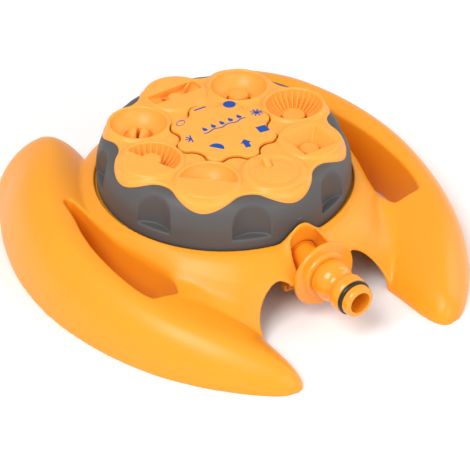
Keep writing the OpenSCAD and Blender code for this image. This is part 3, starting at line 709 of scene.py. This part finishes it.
def ray(angle, inner, outer, half):
    """A bar that points away from the middle of a star."""
    return turned([(inner, -half), (outer, -half), (outer, half), (inner, half)], angle, (0, 0))


def drop(size):
    """A water drop, pointing along +Y."""
    round_part = disc(size, 20, 160, 380)
    return round_part + [(size * 0.42, size * 1.3), (0, 2.2 * size), (-size * 0.42, size * 1.3)]


def wave(length, height, width, n=48):
    """A wavy line of three crests along X."""
    xs = [length * (k / n - 0.5) for k in range(n + 1)]
    upper = [(x, height * math.sin(2 * math.pi * 3 * x / length) + width / 2) for x in xs]
    return upper + [(x, y - width) for x, y in reversed(upper)]


def annulus(outer, inner, stretch, n=40):
    """A flattened ring as short sectors, so that each is a plain face."""
    rows = []
    step = 2 * math.pi / n
    for k in range(n):
        corners = [(outer, k), (outer, k + 1), (inner, k + 1), (inner, k)]
        rows.append([(radius * math.cos(m * step), stretch * radius * math.sin(m * step))
                     for radius, m in corners])
    return rows


def marks():
    """(name, centre, turn, shapes) of each printed mark, anticlockwise from the strip's."""
    bar = [[(-3.4, -0.55), (3.4, -0.55), (3.4, 0.55), (-3.4, 0.55)]]
    star = [ray(45 * k, 0, 3.3, 0.36) for k in range(8)]
    half_star = [ray(a, 0.0, 3.2, 0.38) for a in (-90, -45, 0, 45, 90)]
    square = [[(-2.7, -2.7), (2.7, -2.7), (2.7, 2.7), (-2.7, 2.7)]]
    arrow = [[(-1.5, -3.6), (1.5, -3.6), (1.5, 0.3), (3, 0.3), (0, 3.8), (-3, 0.3), (-1.5, 0.3)]]
    half_disc = [disc(3.9, 24, 0, 180)]
    drops = [turned(drop(1.25), 0, (x, 0.3)) for x in (-10.4, -5.2, 0, 5.2, 10.4)]
    return [("strip", (1.6, 23.6), -3, bar),
            ("full", (16.2, 18.3), 0, [disc(3.3)]),
            ("star", (23, 4.1), 0, star),
            ("square", (16.8, -9.9), -8, square),
            ("jet", (2.5, -16), -16, arrow),
            ("half", (-12, -10.9), -53, half_disc),
            ("half_star", (-17.6, 3.0), 162, half_star),
            ("ring", (-13.9, 18), 26, annulus(3.0, 2.45, 0.62)),
            ("drops", (3, 5.4), 0, drops),
            ("wave", (3, 3.2), 0, [wave(25.5, 0.55, 0.8)])]


def build_marks(material):
    """Each mark is a thin solid that stands a little out of the badge."""
    for name, centre, turn, shapes in marks():
        points, faces = [], []
        for shape in shapes:
            outline = turned(shape, turn, centre)
            n = len(outline)
            first = len(points)
            for lift in (PRINT_LIFT, PRINT_ROOT):
                points += [(x, y, float(badge_crown(x, y)) + lift) for x, y in outline]
            area = sum(a[0] * b[1] - b[0] * a[1] for a, b in zip(outline, outline[1:] + outline[:1]))
            loop = list(range(n))
            if area <= 0:
                loop.reverse()
            faces.append([first + k for k in loop])
            faces.append([first + n + k for k in loop[::-1]])
            for a, b in zip(loop, loop[1:] + loop[:1]):
                faces.append([first + a, first + n + a, first + n + b, first + b])
        obj = mesh_from_points("mark_" + name, points, faces)
        obj.data.polygons.foreach_set("use_smooth", [False] * len(obj.data.polygons))
        finish_piece(obj, "dial", material)


def build_pointer(material):
    """A small triangle on the grip band, by the jet's mark."""
    points = []
    corners = [(-1.9, 45.2), (1.9, 45.2), (0, 48.6)]
    for depth in (0.25, -0.5):
        for x, z in corners:
            points.append((x, -math.sqrt((GRIP_R + depth) ** 2 - x * x) + 0.5 * max(0, z - 46), z))
    faces = [[0, 1, 2], [5, 4, 3], [0, 3, 4, 1], [1, 4, 5, 2], [2, 5, 3, 0]]
    obj = mesh_from_points("pointer", points, faces)
    obj.data.polygons.foreach_set("use_smooth", [False] * len(obj.data.polygons))
    return finish_piece(obj, "dial", material)


# ---------------------------------------------------------------- hose inlet

INLET_REACH = 114.4


def build_inlet(material):
    """The hose tail, turned from pairs of distance from the tip and radius."""
    tip = [[0, 5.5], [0, 6.7], [0.45, 7.7], [1.6, 8.2], [4.1, 8.2], [4.2, 7], [6.4, 7], [6.5, 9.0],
           [7.2, 9.5], [11, 9.8], [11.8, 9.6]]
    neck = catmull([[12.2, 9.3], [13.4, 7.9], [14.8, 7.4], [16.4, 8], [18, 9.2], [20.2, 10.1], [23, 10.3],
                    [25.4, 10.1], [26, 9.6]], 6).tolist()
    flange = [[26.2, 9], [26.8, 9], [26.8, 11.6], [27.2, 12.2], [28.3, 12.5], [28.4, 16.2], [28.7, 17],
              [29.6, 17.4], [30.3, 17.4], [30.9, 16.9], [31, 16]]
    spigot = [[31, 7.6], [46.9, 7.6], [46.9, 6.5], [50.9, 6.5], [50.9, 5.1], [53.1, 5.1], [53.1, 6.5],
              [55.7, 6.5], [55.7, 4.2], [40, 4.2], [38, 5.5]]
    bore = [[d, 5.5] for d in (30, 20, 10)]
    obj = lathe("hose_tail", tip + neck + flange + spigot + bore, (0, -INLET_REACH, INLET_Z), "Y", 128)
    modifier = obj.modifiers.new("edges", "BEVEL")
    modifier.width = 0.22 * MM
    modifier.segments = 2
    modifier.limit_method = "ANGLE"
    modifier.angle_limit = math.radians(38)
    modifier.harden_normals = False
    split_by_angle(obj, 42)
    return finish_piece(obj, "base", material, ["inlet_connector"])


def split_by_angle(obj, degrees):
    """Marks the edges that turn by more than an angle as sharp, so that flats and curves shade apart."""
    mesh = obj.data
    sharp = [False] * len(mesh.edges)
    normals = {}
    for polygon in mesh.polygons:
        for key in polygon.edge_keys:
            normals.setdefault(key, []).append(polygon.normal)
    limit = math.cos(math.radians(degrees))
    for edge in mesh.edges:
        pair = normals.get(edge.key, [])
        sharp[edge.index] = len(pair) == 2 and pair[0].dot(pair[1]) < limit
    attribute = mesh.attributes.new("sharp_edge", "BOOLEAN", "EDGE")
    attribute.data.foreach_set("value", sharp)


# ---------------------------------------------------------------- materials

SPECKLE = 0.03
GLOSS_DRIFT = 0.04


def make_material(name, colour, roughness, grain=0.02, scatter=0.0, coat=0.0, metallic=0.0,
                  grain_scale=900.0, specular=0.5):
    """A moulded or metal surface: slow colour drift, fine grain (in mm) and a slightly uneven gloss."""
    material = bpy.data.materials.new(name)
    material.use_nodes = True
    nodes, links = material.node_tree.nodes, material.node_tree.links
    shader = nodes["Principled BSDF"]
    place = nodes.new("ShaderNodeTexCoord")
    drift = nodes.new("ShaderNodeTexNoise")
    drift.inputs["Scale"].default_value = 38.0
    drift.inputs["Detail"].default_value = 3.0
    links.new(place.outputs["Object"], drift.inputs["Vector"])
    tint = nodes.new("ShaderNodeMix")
    tint.data_type = "RGBA"
    tint.inputs["A"].default_value = (*[c * (1 - SPECKLE) for c in colour], 1)
    tint.inputs["B"].default_value = (*[min(1, c * (1 + SPECKLE)) for c in colour], 1)
    links.new(drift.outputs["Fac"], tint.inputs["Factor"])
    links.new(tint.outputs["Result"], shader.inputs["Base Color"])
    fine = nodes.new("ShaderNodeTexNoise")
    fine.inputs["Scale"].default_value = grain_scale
    fine.inputs["Detail"].default_value = 2.0
    links.new(place.outputs["Object"], fine.inputs["Vector"])
    bump = nodes.new("ShaderNodeBump")
    bump.inputs["Strength"].default_value = 1.0
    bump.inputs["Distance"].default_value = grain * MM
    links.new(fine.outputs["Fac"], bump.inputs["Height"])
    links.new(bump.outputs["Normal"], shader.inputs["Normal"])
    gloss = nodes.new("ShaderNodeMapRange")
    gloss.inputs["To Min"].default_value = roughness - GLOSS_DRIFT
    gloss.inputs["To Max"].default_value = roughness + GLOSS_DRIFT
    links.new(drift.outputs["Fac"], gloss.inputs["Value"])
    links.new(gloss.outputs["Result"], shader.inputs["Roughness"])
    shader.inputs["Metallic"].default_value = metallic
    shader.inputs["Specular IOR Level"].default_value = specular
    shader.inputs["Coat Weight"].default_value = coat
    shader.inputs["Coat Roughness"].default_value = 0.15
    if scatter:
        shader.inputs["Subsurface Weight"].default_value = scatter
        shader.inputs["Subsurface Radius"].default_value = (1.0, 0.35, 0.08)
        shader.inputs["Subsurface Scale"].default_value = 0.0015
    return material


def paint_cad_nodes(looks):
    """Gives every CAD node the material of its slot."""
    by_slot = {row["node"]: row["material_slot"] for row in frame["record"]["subparts"]}
    for name, obj in frame["nodes"].items():
        obj.data.materials.clear()
        obj.data.materials.append(looks[by_slot[name]])


# ---------------------------------------------------------------- studio

CAMERA_LENS = 195.62
CAMERA_AZIMUTH = math.radians(-35.09)
CAMERA_ELEVATION = math.radians(35.57)
CAMERA_DISTANCE = 1.25585
CAMERA_TARGET = Vector((-0.02314, DIAL_AXIS.y - 0.04271, 0.0325))


def build_camera():
    """Looks at the dial from the front left, like the photograph, through a long lens."""
    data = bpy.data.cameras.new("photo_camera")
    camera = link(bpy.data.objects.new("photo_camera", data))
    data.lens = CAMERA_LENS
    data.sensor_width = 36
    data.clip_end = 20
    level = math.cos(CAMERA_ELEVATION)
    forward = Vector((-math.sin(CAMERA_AZIMUTH) * level, math.cos(CAMERA_AZIMUTH) * level,
                      -math.sin(CAMERA_ELEVATION)))
    right = Vector((math.cos(CAMERA_AZIMUTH), math.sin(CAMERA_AZIMUTH), 0))
    up = right.cross(forward)
    place = CAMERA_TARGET - forward * CAMERA_DISTANCE
    rows = [(right[k], up[k], -forward[k], place[k]) for k in range(3)]
    camera.matrix_world = Matrix((*rows, (0, 0, 0, 1)))
    bpy.context.scene.camera = camera


LIGHT_TARGET = Vector((0, 0, 0.02))
FLOOR_HALF = 6.0


def area_light(name, place, size, power):
    """A soft rectangle of light that faces the object."""
    data = bpy.data.lights.new(name, "AREA")
    data.shape = "RECTANGLE"
    data.size, data.size_y = size
    data.energy = power
    obj = link(bpy.data.objects.new(name, data))
    obj.location = place
    obj.rotation_euler = (LIGHT_TARGET - Vector(place)).to_track_quat("-Z", "Y").to_euler()


def build_studio():
    """A plain pale floor, an even white surround and three soft lights."""
    mesh = bpy.data.meshes.new("floor")
    corners = [(-1, -1), (1, -1), (1, 1), (-1, 1)]
    mesh.from_pydata([(FLOOR_HALF * x, FLOOR_HALF * y, 0) for x, y in corners], [], [[0, 1, 2, 3]])
    floor = link(bpy.data.objects.new("floor", mesh))
    pale = bpy.data.materials.new("pale_floor")
    pale.use_nodes = True
    shader = pale.node_tree.nodes["Principled BSDF"]
    shader.inputs["Base Color"].default_value = (0.93, 0.93, 0.93, 1)
    shader.inputs["Roughness"].default_value = 0.9
    shader.inputs["Specular IOR Level"].default_value = 0.1
    mesh.materials.append(pale)
    world = bpy.data.worlds.new("studio")
    bpy.context.scene.world = world
    world.use_nodes = True
    background = world.node_tree.nodes["Background"]
    background.inputs["Color"].default_value = (1, 1, 1, 1)
    background.inputs["Strength"].default_value = 0.58
    area_light("key", (-0.9, -0.35, 1.25), (0.8, 0.8), 16.0)
    area_light("front", (0.15, -1.5, 0.75), (1.4, 0.5), 7.0)
    area_light("side", (1.3, -0.2, 0.7), (0.5, 1.2), 4.0)
    bpy.context.scene.view_settings.view_transform = "Standard"


yellow = make_material("amber_moulding", (0.93, 0.335, 0.014), 0.36, grain=0.012, scatter=0.05,
                       specular=0.38)
spray = make_material("amber_spray_plastic", (0.95, 0.385, 0.052), 0.4, grain=0.012, scatter=0.05,
                      specular=0.4)
cover = make_material("amber_badge_plastic", (0.95, 0.39, 0.052), 0.45, grain=0.010, scatter=0.05,
                      specular=0.4)
glossy = make_material("amber_gloss", (0.93, 0.33, 0.014), 0.22, grain=0.006, scatter=0.04, coat=0.25)
inner = make_material("dark_inner_plastic", (0.09, 0.09, 0.095), 0.5)
grey = make_material("grey_soft_grip", (0.09, 0.085, 0.083), 0.5, grain_scale=1400.0, specular=0.4)
rubber = make_material("black_rubber", (0.012, 0.012, 0.012), 0.3, grain=0.008)
white = make_material("white_acetal", (0.8, 0.8, 0.77), 0.35, grain=0.01)
steel = make_material("stainless_steel", (0.6, 0.6, 0.62), 0.28, grain=0.01, metallic=1.0)
ink = make_material("blue_print", (0.006, 0.07, 0.36), 0.5, grain=0.008, grain_scale=2500.0, specular=0.3)

build_camera()
build_studio()
paint_cad_nodes({
    "yellow_plastic": yellow, "nozzle_plastic": spray, "badge_plastic": cover, "inlet_plastic": glossy,
    "inner_plastic": inner, "grey_grip": grey, "black_rubber": rubber, "white_plastic": white,
    "steel": steel})
build_shell(yellow)
build_dial(spray, grey)
build_spout(spray)
build_badge(cover)
build_marks(ink)
build_pointer(grey)
build_inlet(glossy)
